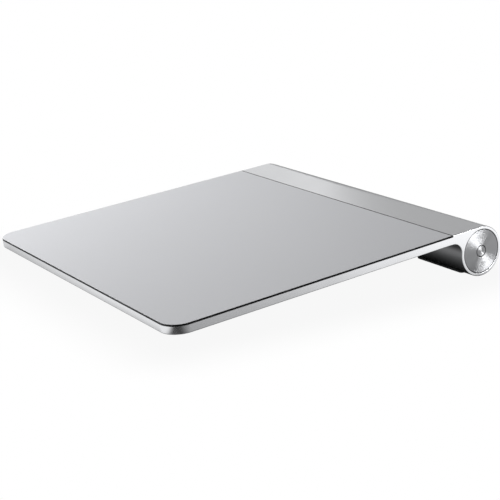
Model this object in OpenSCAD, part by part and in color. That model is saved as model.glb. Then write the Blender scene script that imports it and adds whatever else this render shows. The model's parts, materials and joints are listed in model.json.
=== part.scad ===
// Wireless trackpad: a sloping glass-topped plate carried by a battery tube along its back edge.
// Millimetres. +X to the power-button end, +Y to the tube, +Z up from the desk.
// The plate's own frame has v up the slope from the front edge and n square to the glass.

/* [Plate] */
// Slope length from the front edge to the tube's axis
slope_len = 122.45; // [116:0.05:126]
// Tilt of the plate on a desk, in degrees
tilt = 5.7; // [5.2:0.1:6.2]
// Thickness of the metal plate under the glass
metal_t = 2.65; // [2.5:0.05:3]
// Thickness of the metal under the inner pocket
floor_t = 0.75; // [0.6:0.05:0.85]
// Width of the rim round the inner pocket
rim_w = 3; // [2:0.1:4]
// Radius of the two front corners, seen from above
corner_r = 6.8; // [5:0.1:9]
// Depth of the metal strip from the glass seam to the tube's axis
strip_d = 12.75; // [12:0.05:15]
// Open gap between the glass and the metal strip
seam_gap = 0.12; // [0.08:0.01:0.2]
// Radius of the blend between the plate's underside and the tube
fillet_r = 3.8; // [2:0.1:5]

/* [Glass and sensor] */
// Thickness of the touch glass
glass_t = 0.55; // [0.45:0.05:0.7]
// Setback of the glass edge from the metal side
glass_inset = 0.05; // [0:0.01:0.15]
// Thickness of the adhesive under the glass
adhesive_t = 0.1; // [0.05:0.01:0.15]
// Setback of the adhesive from the glass edge
adhesive_setback = 0.3; // [0.1:0.1:1]
// Thickness of the sensor board
board_t = 0.6; // [0.4:0.05:0.7]
// Gap between the sensor board and the pocket wall
board_gap = 0.4; // [0.2:0.1:1]
// Height of the chips under the sensor board
chip_h = 0.8; // [0.5:0.05:0.9]
// Side of the square touch controller
controller_w = 9; // [6:0.5:12]
// Length of the shielded radio module
radio_l = 14; // [10:0.5:18]
// Width of the shielded radio module
radio_w = 10; // [8:0.5:14]
// Length of one small passive part
passive_l = 1.6; // [1:0.1:2]
// Side of one square foam pad
foam_w = 10; // [6:1:14]

/* [Click feet] */
// Distance of each front foot from the plate's side
foot_inset = 15; // [12:0.5:21]
// Distance of each front foot up the slope from the front edge
foot_v = 15; // [12:0.5:20]
// Radius of a foot
foot_r = 5.6; // [4.5:0.1:6.5]
// Thickness of the plunger's head
head_t = 0.8; // [0.5:0.1:1]
// Gap above the plunger's head at rest
head_gap = 0.6; // [0.45:0.05:0.8]
// Radius of the plunger's stem
stem_r = 2.5; // [2:0.1:3]
// Radial clearance of the stem in the plate
stem_clear = 0.06; // [0.03:0.01:0.1]
// Height of the dome that the plunger pushes
dome_h = 0.5; // [0.4:0.05:0.55]
// Radius of the dome's base
dome_r = 2.4; // [2:0.1:3]
// Height of the switch base that holds the dome
switch_h = 0.2; // [0.1:0.05:0.25]
// Side of the square switch base
switch_w = 6; // [5:0.5:8]
// Thickness of the retaining clip on the stem
clip_t = 0.3; // [0.2:0.05:0.35]
// Width of the retaining clip's ring
clip_w = 1.4; // [1:0.1:2]

/* [Cells and tube] */
// Radius of an AA cell
cell_r = 7.1; // [6.8:0.05:7.2]
// Length of an AA cell with its nub
cell_len = 50.5; // [49:0.1:51]
// Radius of the cell's nub
nub_r = 2.6; // [2:0.1:2.75]
// Length of the cell's nub
nub_len = 1.5; // [1:0.1:2]
// Radial room between cell and sleeve
cell_clear = 0.25; // [0.15:0.05:0.4]
// Wall of the sleeve that lines the tube
sleeve_t = 0.35; // [0.2:0.05:0.5]
// Radial room between the sleeve and the tube's bore
sleeve_clear = 0.1; // [0.05:0.01:0.15]
// End room of the sleeve between holder and cap
sleeve_end_gap = 0.4; // [0.2:0.1:0.8]
// Wall of the tube
tube_wall = 1.05; // [0.95:0.05:1.3]

/* [Rear feet] */
// Height of the tube above the desk
rear_foot_h = 0.6; // [0.4:0.05:0.8]
// Depth of the groove that holds a rear foot
rear_groove_d = 0.45; // [0.4:0.01:0.5]
// Width of a rear foot
rear_foot_w = 5; // [4:0.1:5]
// Length of a rear foot
rear_foot_l = 24; // [12:1:30]
// Distance of each rear foot's middle from the tube's end
rear_foot_inset = 19; // [17:1:30]

/* [Power end] */
// Setback of the disc and the cap from the tube's ends
end_recess = 0.1; // [0:0.05:0.3]
// Radial gap round the disc and the plugs in the bore
plug_clear = 0.1; // [0.05:0.01:0.15]
// Thickness of the disc
disc_t = 1.6; // [1.2:0.1:2]
// Length of the disc's skirt
skirt_len = 4.4; // [4.2:0.1:5]
// Wall of the disc's skirt
skirt_t = 1.5; // [1:0.1:1.6]
// Radius of the power button
button_r = 1.85; // [1.5:0.05:2.2]
// Radial clearance of the button in the disc
button_clear = 0.05; // [0.02:0.01:0.1]
// Length of the boss that guides the button
boss_len = 2; // [1.5:0.1:2.2]
// Wall of the boss that guides the button
boss_t = 1.3; // [1:0.1:1.5]
// Width of the button's flange round its shaft
flange_w = 0.85; // [0.5:0.05:1.2]
// Thickness of the button's flange
flange_t = 0.9; // [0.6:0.1:1]
// Gap between moving faces at rest
rest_gap = 0.03; // [0.01:0.01:0.05]
// Thickness of the power board
power_board_t = 0.8; // [0.6:0.1:1]
// Depth of the seat that holds the power board
board_seat = 1.4; // [1.2:0.1:1.6]
// Wall of that seat
seat_wall = 1.6; // [1.2:0.1:2]
// Height of the power switch
power_switch_h = 0.8; // [0.6:0.1:0.9]
// Side of the power switch
power_switch_w = 4; // [3:0.1:5]
// Length of the contact holder behind the board
holder_len = 4.6; // [4:0.1:6]
// Radius of the positive contact's body
contact_r = 3.5; // [3:0.1:4.5]
// How far the positive contact stands out of its holder
contact_reach = 1.4; // [1.2:0.1:2.5]

/* [Flex cable] */
// Distance of the flex cable behind the power board
flex_setback = 2.5; // [2.2:0.1:2.8]
// Width of the flex cable
flex_w = 4; // [3:0.1:4.4]
// Thickness of the flex cable
flex_t = 0.15; // [0.1:0.01:0.2]
// Depth of the flex cable below the sensor board
flex_drop = 0.5; // [0.45:0.05:0.6]
// Room above and below the flex cable in its channel
channel_room = 0.45; // [0.3:0.05:0.5]
// Length of the flex cable's tail on the power board
tail_l = 3.6; // [2:0.1:4]
// Height of the status light
led_h = 0.4; // [0.2:0.05:0.4]

/* [Battery cap] */
// Length of the cap
cap_len = 8; // [7:0.1:9]
// Radial clearance of the cap in the bore
cap_clear = 0.08; // [0.05:0.01:0.1]
// Thickness of the cap's face
cap_face_t = 2.7; // [2.2:0.1:3]
// Wall of the cap's skirt
cap_wall = 1.85; // [1.5:0.05:2]
// Width of the coin slot
slot_w = 1.6; // [1.2:0.1:2.2]
// Depth of the coin slot
slot_d = 1.2; // [0.8:0.1:1.5]
// Pitch of the thread grooves
thread_pitch = 1.5; // [1:0.05:1.6]
// Depth of the thread grooves
thread_d = 0.35; // [0.2:0.05:0.5]
// Radial clearance of the insulating cup in the cap
cup_clear = 0.07; // [0.03:0.01:0.1]
// Length of the insulating cup
cup_len = 4; // [3:0.1:4.5]
// Wall of the insulating cup
cup_t = 0.8; // [0.6:0.1:1]
// Radius of the contact spring's wire
wire_r = 0.35; // [0.25:0.05:0.45]
// Length of the contact spring between the cup and the cells
spring_len = 11.87; // [8:0.01:20]
// Turns of the contact spring
spring_turns = 5; // [3:0.5:6]
// Radius of the contact spring at the cell
spring_tip_r = 2.6; // [2:0.1:3]

/* [Hidden] */
$fn = 96;

// Overlap of a cut past the face that it opens
cut = 1;
// Extra radius that lets a round blend cross its neighbours instead of grazing them
blend = 0.02;
// Least radius of an inner corner
corner_min = 0.5;
// Left and right
SIDES = [-1, 1];

// Tube
sleeve_in_r = cell_r + cell_clear;
sleeve_out_r = sleeve_in_r + sleeve_t;
bore_r = sleeve_out_r + sleeve_clear;
tube_r = bore_r + tube_wall;
plug_r = bore_r - plug_clear;
tube_n = blend - tube_r;

// Width of the plate and the tube, from what the tube holds end to end
cap_stack = end_recess + cap_face_t + rest_gap + cup_t + spring_len;
power_stack = contact_reach + holder_len + board_seat + skirt_len + disc_t + end_recess;
body_w = cap_stack + 2 * cell_len + power_stack;
end_x = body_w / 2;
foot_x = end_x - foot_inset;
rear_foot_x = end_x - rear_foot_inset;

// Plate, as heights along n
stack_t = glass_t + adhesive_t;
plate_t = stack_t + metal_t;
floor_n = floor_t - plate_t;
board_n = -stack_t - board_t;
seam_v = slope_len - strip_d;
pocket_end = seam_v - rim_w;

// Where the plate's frame stands on the desk
tube_z = rear_foot_h + tube_r;
slope_z = tube_z - slope_len * sin(tilt) - tube_n * cos(tilt);
depth = slope_len * cos(tilt) - tube_n * sin(tilt) + tube_r;
slope_y = -depth / 2;
tube_y = depth / 2 - tube_r;

// Blend under the plate, as a circle that touches the underside and the tube
blend_n = -plate_t - fillet_r;
blend_v = slope_len - sqrt(pow(tube_r + fillet_r, 2) - pow(blend_n - tube_n, 2));

// Front feet, as heights along n
head_n = -plate_t - head_gap;
switch_n = board_n - switch_h;
dome_n = switch_n - dome_h;
stem_top_n = dome_n - rest_gap;

// Power end, as places along x from the right end inwards
disc_x = end_x - end_recess - disc_t;
skirt_x = disc_x - skirt_len;
flange_x = disc_x - boss_len - rest_gap - flange_t;
power_board_x = skirt_x - board_seat;
power_face_x = power_board_x + power_board_t;
dome_x = power_face_x + power_switch_h;
holder_x = power_board_x - holder_len;
contact_x = holder_x - contact_reach;

// Cells, from the positive contact towards the cap
inner_x = contact_x - cell_len;
outer_x = inner_x - cell_len;

// Cap end, as places along x from the left end inwards
cap_x = -end_x + end_recess;
cap_end_x = cap_x + cap_len;
cap_r = bore_r - cap_clear;
cap_floor_x = cap_x + cap_face_t;
cup_r = cap_r - cap_wall - cup_clear;
cup_x = cap_floor_x + rest_gap;
cup_floor_x = cup_x + cup_t;

// Flex cable, as its place along x and heights along n
flex_x = power_board_x - flex_setback;
flex_n = board_n - flex_drop - flex_t;
channel_n = flex_n - channel_room;
channel_h = flex_t + 2 * channel_room;
tail_v = slope_len - flex_w / 2;

// Contact spring's path, a cone of turns from the cup to the cell
spring_base_r = cup_r - cup_t - wire_r - rest_gap;
spring_x0 = cup_floor_x + wire_r + rest_gap;
spring_x1 = outer_x - wire_r - rest_gap;
spring_rings = round(8 * spring_turns);
spring_sides = 6;
function spring_r(t) = spring_base_r + (spring_tip_r - spring_base_r) * t;
function spring_at(t, radial, along) =
    let (a = 360 * spring_turns * t, r = spring_r(t) + radial)
    [spring_x0 + (spring_x1 - spring_x0) * t + along, r * cos(a), r * sin(a)];
spring_gap = min([for (i = [0 : spring_rings - 5], j = [i + 5 : spring_rings])
    norm(spring_at(i / spring_rings, 0, 0) - spring_at(j / spring_rings, 0, 0))]) - 2 * wire_r;
echo("contact spring, least gap between turns", spring_gap);

// Stands a shape drawn in the plate's frame on the desk
module on_slope() {
    translate([0, slope_y, slope_z])
        rotate([tilt, 0, 0])
            children();
}

// Puts a shape drawn about the X axis on the tube's axis
module on_tube() {
    translate([0, tube_y, tube_z])
        children();
}

// A round bar along X from x0 to x1
module bar_x(x0, x1, r) {
    translate([x0, 0, 0])
        rotate([0, 90, 0])
            cylinder(h = x1 - x0, r = r);
}

// A slab along n with a plan drawn in x and v
module slab(n0, n1) {
    translate([0, 0, n0])
        linear_extrude(n1 - n0)
            children();
}

// A box by its middle in x and v, its size, and its lowest and highest n
module block(x, v, w, d, n0, n1) {
    slab(n0, n1)
        translate([x - w / 2, v - d / 2])
            square([w, d]);
}

// Plan of the plate set in from its edges, with the two round front corners
module front_plan(inset, back) {
    half = body_w / 2 - inset;
    r = max(corner_r - inset, corner_min);
    difference() {
        translate([-half, inset])
            square([2 * half, back - inset]);
        for (turn = [0, 1])
            mirror([turn, 0])
                difference() {
                    translate([half - r, inset - cut])
                        square([r + cut, r + cut]);
                    translate([half - r, inset + r])
                        circle(r + blend);
                }
    }
}

// Side outline of the body in v and n: plate, strip and tube, with a round blend in the inner corner
module body_outline() {
    difference() {
        union() {
            translate([0, -plate_t])
                square([slope_len, metal_t]);
            translate([seam_v + seam_gap, -plate_t])
                square([strip_d - seam_gap, plate_t]);
            translate([slope_len, tube_n])
                circle(tube_r);
            polygon([[blend_v, blend_n], [slope_len, tube_n], [slope_len, -plate_t + metal_t / 2],
                [blend_v, -plate_t + metal_t / 2]]);
        }
        translate([blend_v, blend_n])
            circle(fillet_r + blend);
    }
}

// Channel in the metal that takes the flex cable from the pocket into the bore
module flex_channel() {
    channel_w = flex_w + 2 * channel_room;
    tail_reach = power_face_x + flex_t + channel_room;
    slab(channel_n, channel_n + channel_h) {
        translate([flex_x - channel_w / 2, pocket_end - cut])
            square([channel_w, slope_len - pocket_end + cut]);
        translate([flex_x, tail_v - channel_room])
            square([tail_reach - flex_x, slope_len - tail_v + channel_room]);
    }
}

// Plan of one rear foot, or of its groove with a margin round it
module rear_foot_plan(margin) {
    translate([-rear_foot_l / 2 - margin, -rear_foot_w / 2 - margin])
        square([rear_foot_l + 2 * margin, rear_foot_w + 2 * margin]);
}

module body_shell() {
    color("silver")
        difference() {
            on_slope()
                intersection() {
                    rotate([90, 0, 90])
                        translate([0, 0, -body_w / 2])
                            linear_extrude(body_w)
                                body_outline();
                    slab(tube_n - tube_r - cut, cut)
                        front_plan(0, slope_len + tube_r + cut);
                }
            on_slope() {
                slab(floor_n, cut - stack_t)
                    front_plan(rim_w, pocket_end);
                flex_channel();
                for (side = SIDES)
                    translate([side * foot_x, foot_v, -plate_t - cut])
                        cylinder(h = plate_t + cut, r = stem_r + stem_clear);
            }
            on_tube()
                bar_x(-end_x - cut, end_x + cut, bore_r);
            for (side = SIDES)
                translate([side * rear_foot_x, tube_y, -cut])
                    linear_extrude(rear_foot_h + rear_groove_d + cut)
                        rear_foot_plan(rest_gap);
        }
}

module glass_plate() {
    color("gainsboro")
        on_slope()
            slab(-glass_t, 0)
                front_plan(glass_inset, seam_v);
}

module glass_adhesive() {
    color("dimgray")
        on_slope()
            slab(-stack_t, -glass_t)
                difference() {
                    front_plan(glass_inset + adhesive_setback, seam_v - adhesive_setback);
                    front_plan(rim_w, pocket_end);
                }
}

module sensor_film() {
    color("lightgray")
        on_slope()
            slab(-stack_t, -glass_t)
                front_plan(rim_w + board_gap, pocket_end - board_gap);
}

module sensor_board() {
    color("darkgreen")
        on_slope()
            slab(board_n, -stack_t)
                front_plan(rim_w + board_gap, pocket_end - board_gap);
}

// Under the board, the chips sit in the back third of the pocket
chip_v = pocket_end - rim_w - radio_w;

module touch_controller() {
    color("black")
        on_slope()
            block(0, chip_v, controller_w, controller_w, board_n - chip_h, board_n);
}

module radio_module() {
    color("lightsteelblue")
        on_slope()
            block(-foot_x / 2, chip_v, radio_l, radio_w, board_n - chip_h, board_n);
}

module board_passives() {
    row = 6;
    pitch = 2 * passive_l;
    lead_v = chip_v - max(controller_w, radio_w) / 2 - pitch;
    color("peru")
        on_slope()
            for (middle = [0, -foot_x / 2], i = [0 : row - 1])
                block(middle + (i - (row - 1) / 2) * pitch, lead_v, passive_l, passive_l / 2,
                    board_n - passive_l / 2, board_n);
}

// Where the flex cable meets its connector, short of the pocket's back wall
connector_d = flex_w;
connector_v = pocket_end - board_gap - connector_d;

module flex_connector() {
    color("ivory")
        on_slope()
            block(flex_x, connector_v, flex_w + 2 * channel_room, connector_d, board_n - flex_drop, board_n);
}

module battery_flex() {
    tail_x = power_face_x + flex_t;
    color("darkorange")
        on_slope() {
            slab(flex_n, flex_n + flex_t) {
                translate([flex_x - flex_w / 2, connector_v - connector_d / 2])
                    square([flex_w, slope_len - connector_v + connector_d / 2]);
                translate([flex_x, tail_v])
                    square([tail_x - flex_x, slope_len - tail_v]);
            }
            slab(flex_n - tail_l, flex_n + flex_t)
                translate([power_face_x, tail_v])
                    square([flex_t, slope_len - tail_v]);
        }
}

module status_led() {
    led_l = 1.6;
    color("palegreen")
        on_slope()
            block(flex_x, seam_v + strip_d / 4, led_l, led_l / 2, flex_n + flex_t, flex_n + flex_t + led_h);
}

// A bent spring finger from the pocket's floor up to the board
module ground_clip() {
    finger_t = 0.2;
    finger_w = 3;
    foot_l = 4;
    color("gold")
        on_slope()
            translate([-flex_x, connector_v, 0]) {
                block(0, 0, finger_w, foot_l, floor_n, floor_n + finger_t);
                block(0, (finger_t - foot_l) / 2, finger_w, finger_t, floor_n, board_n);
                block(0, 0, finger_w, foot_l, board_n - finger_t, board_n);
            }
}

module foam_pads() {
    front_v = foot_v + 2 * foam_w;
    mid_v = (front_v + chip_v) / 2 - foam_w / 2;
    color("darkslategray")
        on_slope()
            for (x = [-foot_x, 0, foot_x], v = [front_v, mid_v])
                block(x, v, foam_w, foam_w, floor_n, board_n);
}

module click_switches() {
    color("whitesmoke")
        on_slope()
            for (side = SIDES)
                block(side * foot_x, foot_v, switch_w, switch_w, switch_n, board_n);
}

module click_dome(side) {
    color("khaki")
        on_slope()
            translate([side * foot_x, foot_v, dome_n])
                cylinder(h = dome_h, r1 = dome_r / 2, r2 = dome_r);
}

module click_dome_left() {
    click_dome(-1);
}

module click_dome_right() {
    click_dome(1);
}

// Clip's place on the stem, just above the pocket's floor
clip_n = floor_n + rest_gap;
clip_groove = stem_r / 4;

module foot_plunger(side) {
    color("white")
        on_slope()
            translate([side * foot_x, foot_v, 0]) {
                translate([0, 0, head_n - head_t])
                    cylinder(h = head_t, r = foot_r);
                difference() {
                    translate([0, 0, head_n - head_t / 2])
                        cylinder(h = stem_top_n - head_n + head_t / 2, r = stem_r);
                    translate([0, 0, clip_n])
                        difference() {
                            cylinder(h = clip_t, r = stem_r + cut);
                            translate([0, 0, -cut])
                                cylinder(h = clip_t + 2 * cut, r = stem_r - clip_groove);
                        }
                }
            }
}

module foot_plunger_left() {
    foot_plunger(-1);
}

module foot_plunger_right() {
    foot_plunger(1);
}

// An open ring that snaps into the stem's groove
module foot_clip(side) {
    inner_r = stem_r - clip_groove;
    color("slategray")
        on_slope()
            translate([side * foot_x, foot_v, 0])
                slab(clip_n, clip_n + clip_t)
                    difference() {
                        circle(inner_r + clip_groove + clip_w);
                        circle(inner_r);
                        translate([-inner_r / 2, 0])
                            square([inner_r, inner_r + clip_groove + clip_w + cut]);
                    }
}

module foot_clip_left() {
    foot_clip(-1);
}

module foot_clip_right() {
    foot_clip(1);
}

// Rubber under the plunger's head, cut level with the desk
module foot_pad(side) {
    reach = foot_r + cut;
    pad_drop = slope_z + (foot_v + reach) * sin(tilt);
    color("darkgray")
        difference() {
            on_slope()
                translate([side * foot_x, foot_v, head_n - head_t - pad_drop])
                    cylinder(h = pad_drop, r = foot_r);
            translate([side * foot_x - reach, slope_y, -2 * pad_drop])
                cube([2 * reach, depth, 2 * pad_drop]);
        }
}

module foot_pad_left() {
    foot_pad(-1);
}

module foot_pad_right() {
    foot_pad(1);
}

module rear_feet() {
    color("darkgray")
        for (side = SIDES)
            translate([side * rear_foot_x, tube_y, 0])
                linear_extrude(rear_foot_h + rear_groove_d)
                    rear_foot_plan(0);
}

module end_disc() {
    hole_r = button_r + button_clear;
    color("lightgray")
        on_tube()
            difference() {
                union() {
                    bar_x(disc_x, disc_x + disc_t, plug_r);
                    bar_x(disc_x - boss_len, disc_x + disc_t / 2, hole_r + boss_t);
                    difference() {
                        bar_x(skirt_x, disc_x + disc_t / 2, plug_r);
                        bar_x(skirt_x - cut, disc_x, plug_r - skirt_t);
                    }
                }
                bar_x(skirt_x, end_x + cut, hole_r);
            }
}

module power_button() {
    color("lightgray")
        on_tube() {
            bar_x(flange_x, end_x - end_recess, button_r);
            bar_x(flange_x, flange_x + flange_t, button_r + flange_w);
        }
}

module power_dome() {
    dome_base = power_switch_w / 2.5;
    dome_len = flange_x - rest_gap - dome_x;
    color("khaki")
        on_tube()
            translate([dome_x, 0, 0])
                rotate([0, 90, 0])
                    cylinder(h = dome_len, r1 = dome_base, r2 = dome_base / 2);
}

module power_switch() {
    color("whitesmoke")
        on_tube()
            translate([power_face_x, -power_switch_w / 2, -power_switch_w / 2])
                cube([power_switch_h, power_switch_w, power_switch_w]);
}

module power_board() {
    color("darkgreen")
        on_tube()
            bar_x(power_board_x, power_face_x, plug_r - seat_wall);
}

// Plug behind the disc that seats the power board and carries the positive contact
module contact_holder() {
    notch_w = flex_w / 2 + 2 * channel_room;
    notch_x = flex_x - flex_w / 2 - channel_room;
    color("dimgray")
        difference() {
            on_tube()
                difference() {
                    bar_x(holder_x, skirt_x, plug_r);
                    bar_x(power_board_x, skirt_x + cut, plug_r - seat_wall);
                    bar_x(holder_x - cut, skirt_x, contact_r);
                }
            on_slope() {
                slab(channel_n, 0)
                    translate([min(notch_x, holder_x - cut), tail_v - flex_w])
                        square([skirt_x + 2 * cut - holder_x, notch_w + flex_w]);
                slab(flex_n - tail_l, 0)
                    translate([power_board_x, tail_v - channel_room])
                        square([board_seat + cut, notch_w]);
            }
        }
}

module positive_contact() {
    color("gold")
        on_tube() {
            bar_x(holder_x, power_board_x, contact_r);
            bar_x(contact_x, holder_x + contact_reach, nub_r);
        }
}

module battery_sleeve() {
    sleeve_x0 = cap_end_x + sleeve_end_gap;
    sleeve_x1 = holder_x - sleeve_end_gap;
    color("darkslategray")
        on_tube()
            difference() {
                bar_x(sleeve_x0, sleeve_x1, sleeve_out_r);
                bar_x(sleeve_x0 - cut, sleeve_x1 + cut, sleeve_in_r);
            }
}

// One cell with its nub towards +X
module cell(x) {
    on_tube() {
        bar_x(x, x + cell_len - nub_len, cell_r);
        bar_x(x + cell_len / 2, x + cell_len, nub_r);
    }
}

module battery_inner() {
    color("steelblue")
        cell(inner_x);
}

module battery_outer() {
    color("steelblue")
        cell(outer_x);
}

module battery_cap() {
    groove_w = thread_pitch / 2;
    grooves = floor((cap_len - cap_face_t) / thread_pitch);
    color("lightgray")
        on_tube()
            difference() {
                bar_x(cap_x, cap_end_x, cap_r);
                bar_x(cap_floor_x, cap_end_x + cut, cap_r - cap_wall);
                translate([cap_x - cut, -cap_r - cut, -slot_w / 2])
                    cube([slot_d + cut, 2 * (cap_r + cut), slot_w]);
                for (i = [0 : grooves - 1])
                    difference() {
                        bar_x(cap_floor_x + i * thread_pitch, cap_floor_x + i * thread_pitch + groove_w,
                            cap_r + cut);
                        bar_x(cap_x, cap_end_x, cap_r - thread_d);
                    }
            }
}

module cap_insulator() {
    color("dimgray")
        on_tube()
            difference() {
                bar_x(cup_x, cup_x + cup_len, cup_r);
                bar_x(cup_floor_x, cup_x + cup_len + cut, cup_r - cup_t);
            }
}

// One unbroken wire wound as a cone, its rings swept along the turns
module cap_contact_spring() {
    points = [for (i = [0 : spring_rings], k = [0 : spring_sides - 1])
        let (b = 360 * k / spring_sides)
        spring_at(i / spring_rings, wire_r * cos(b), wire_r * sin(b))];
    last = spring_rings * spring_sides;
    sides = [for (i = [0 : spring_rings - 1], k = [0 : spring_sides - 1])
        let (a = i * spring_sides + k, b = i * spring_sides + (k + 1) % spring_sides)
        each [[a, b, a + spring_sides], [b, b + spring_sides, a + spring_sides]]];
    ends = [for (k = [1 : spring_sides - 2])
        each [[0, k + 1, k], [last, last + k, last + k + 1]]];
    color("gold")
        on_tube()
            polyhedron(points, concat(sides, ends));
}

body_shell();
glass_plate();
glass_adhesive();
sensor_film();
sensor_board();
touch_controller();
radio_module();
board_passives();
flex_connector();
battery_flex();
status_led();
ground_clip();
foam_pads();
click_switches();
click_dome_left();
click_dome_right();
foot_plunger_left();
foot_plunger_right();
foot_clip_left();
foot_clip_right();
foot_pad_left();
foot_pad_right();
rear_feet();
end_disc();
power_button();
power_dome();
power_switch();
power_board();
contact_holder();
positive_contact();
battery_sleeve();
battery_inner();
battery_outer();
battery_cap();
cap_insulator();
cap_contact_spring();
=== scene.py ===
import functools
import json
import math

import bmesh
import bpy
from mathutils import Matrix, Vector


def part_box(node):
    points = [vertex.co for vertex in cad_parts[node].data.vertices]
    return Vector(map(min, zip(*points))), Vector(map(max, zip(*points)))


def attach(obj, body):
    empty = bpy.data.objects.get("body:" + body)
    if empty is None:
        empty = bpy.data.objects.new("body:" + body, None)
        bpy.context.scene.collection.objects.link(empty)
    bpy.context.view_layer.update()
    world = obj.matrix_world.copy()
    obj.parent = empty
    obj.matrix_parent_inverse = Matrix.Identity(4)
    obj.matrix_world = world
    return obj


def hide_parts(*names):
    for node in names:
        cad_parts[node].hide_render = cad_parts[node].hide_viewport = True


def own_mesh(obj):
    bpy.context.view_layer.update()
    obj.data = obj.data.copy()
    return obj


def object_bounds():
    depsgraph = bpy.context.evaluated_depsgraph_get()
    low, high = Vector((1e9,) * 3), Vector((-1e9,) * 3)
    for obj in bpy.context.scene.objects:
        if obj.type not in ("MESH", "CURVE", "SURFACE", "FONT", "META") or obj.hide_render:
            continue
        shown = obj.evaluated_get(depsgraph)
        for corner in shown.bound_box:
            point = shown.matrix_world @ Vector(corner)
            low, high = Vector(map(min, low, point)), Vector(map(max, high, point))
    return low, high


bl_info = {
    "name": "Wireless Trackpad",
    "version": (1, 0, 0),
    "blender": (4, 5, 0),
    "location": "3D View > Sidebar > Trackpad",
    "description": "Dresses the packed trackpad with finished pieces, materials and a studio",
    "category": "Object",
}

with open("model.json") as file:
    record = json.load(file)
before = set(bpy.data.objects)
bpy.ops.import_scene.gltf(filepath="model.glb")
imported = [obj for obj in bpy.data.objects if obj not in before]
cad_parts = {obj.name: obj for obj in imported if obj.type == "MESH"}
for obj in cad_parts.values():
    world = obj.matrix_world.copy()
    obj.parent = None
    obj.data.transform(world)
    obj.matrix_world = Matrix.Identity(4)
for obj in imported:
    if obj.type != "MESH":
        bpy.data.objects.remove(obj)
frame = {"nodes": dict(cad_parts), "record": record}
CAD_LOW, CAD_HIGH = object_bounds()
MM = 0.001
CREASE = math.radians(40)

# Plate: how the slope lies on the desk, read from the glass and the way the front feet move
GLASS_LOW, GLASS_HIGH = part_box("glass_plate")
BODY_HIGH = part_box("body_shell")[1]
JOINTS = {joint["name"]: joint for joint in frame["record"]["behaviour"]["joints"]}
NORMAL = Vector(JOINTS["left_foot_press"]["axis"]).normalized()
TILT = math.atan2(-NORMAL.y, NORMAL.z)
SLOPE = Vector((0, math.cos(TILT), math.sin(TILT)))
GLASS_DY = GLASS_HIGH.y - GLASS_LOW.y
GLASS_DZ = GLASS_HIGH.z - GLASS_LOW.z
GLASS_T = (GLASS_DZ * math.cos(TILT) - GLASS_DY * math.sin(TILT)) / math.cos(2 * TILT)
GLASS_LEN = (GLASS_DY * math.cos(TILT) - GLASS_DZ * math.sin(TILT)) / math.cos(2 * TILT)
END_X = BODY_HIGH.x
GLASS_INSET = END_X - GLASS_HIGH.x
SEAM_V = GLASS_INSET + GLASS_LEN
FRONT_TOP = Vector((0, GLASS_LOW.y, GLASS_HIGH.z - GLASS_LEN * math.sin(TILT))) - SLOPE * GLASS_INSET

# Sizes of the body that the frame's boxes don't give
CORNER_R = 6.8 * MM
METAL_T = 2.65 * MM
FLOOR_T = 0.75 * MM
RIM_W = 3 * MM
UNDER_BORDER = 1.2 * MM
ADHESIVE_T = 0.1 * MM
SEAM_GAP = 0.38 * MM
SEAM_DEPTH = 0.01 * MM
FILLET_R = 3.8 * MM
STACK_T = GLASS_T + ADHESIVE_T
PLATE_T = STACK_T + METAL_T
FLOOR_N = FLOOR_T - PLATE_T
POCKET_END = SEAM_V - RIM_W

# Tube: its axis and radii, read from the pieces that fill it
DISC_LOW, DISC_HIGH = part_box("end_disc")
CAP_LOW, CAP_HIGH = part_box("battery_cap")
TUBE_Y = (DISC_LOW.y + DISC_HIGH.y) / 2
TUBE_Z = (DISC_LOW.z + DISC_HIGH.z) / 2
TUBE_R = BODY_HIGH.y - TUBE_Y
DISC_R = (DISC_HIGH.y - DISC_LOW.y) / 2
CAP_R = (CAP_HIGH.y - CAP_LOW.y) / 2
BORE_R = CAP_R + 0.08 * MM

# Thread of the cap and the bore: its size, rows of points in each turn, how quickly it runs out at its
# ends, and where and how steeply a flank leaves the root
THREAD_PITCH = 1.5 * MM
THREAD_DEPTH = 0.3 * MM
THREAD_LEAD_IN = 0.6 * MM
THREAD_STEPS = 12
THREAD_FADE = 8
FLANK_START = 0.75
FLANK_SLOPE = 5


def on_plate(x, v, n):
    """A point drawn in the plate's frame: across, up the slope and out of the glass."""
    return FRONT_TOP + Vector((x, 0, 0)) + SLOPE * v + NORMAL * n


def to_plate(point):
    """The slope and height values of a point of the row frame."""
    offset = point - FRONT_TOP
    return offset.dot(SLOPE), offset.dot(NORMAL)


def on_tube(x, radius, angle):
    """A point round the tube's axis; the angle starts at the back and goes up."""
    return Vector((x, TUBE_Y + radius * math.cos(angle), TUBE_Z + radius * math.sin(angle)))


TUBE_V, TUBE_N = to_plate(Vector((0, TUBE_Y, TUBE_Z)))


def length_setting(name, description, default, high, low=0):
    """A size that the panel shows with its unit."""
    return bpy.props.FloatProperty(name=name, description=description, default=default, min=low, max=high,
                                   precision=5, subtype="DISTANCE", unit="LENGTH")


def colour_setting(name, description, default):
    """A colour that the panel shows as a swatch."""
    return bpy.props.FloatVectorProperty(name=name, description=description, default=default, size=3,
                                         min=0, max=1, subtype="COLOR")


def steps_setting(name, description, default):
    """A number of faces round a piece."""
    return bpy.props.IntProperty(name=name, description=description, default=default, min=24, max=256)


def power_setting(name, description, default):
    """The power of a lamp."""
    return bpy.props.FloatProperty(name=name, description=description, default=default, min=0, max=50,
                                   unit="POWER")


class TrackpadBodySettings(bpy.types.PropertyGroup):
    """Sizes and finish of the metal body"""

    edge_round: length_setting("Edge Round", "Width of the round on the body's outer edges",
                               0.28 * MM, 0.6 * MM)
    tube_steps: steps_setting("Tube Steps", "Faces round the visible part of the tube", 84)
    metal_colour: colour_setting("Metal", "Colour of the anodised metal", (0.8, 0.807, 0.825))
    grain_size: length_setting("Grain", "Size of the blasted grain", 0.16 * MM, 1 * MM, 0.02 * MM)


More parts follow.
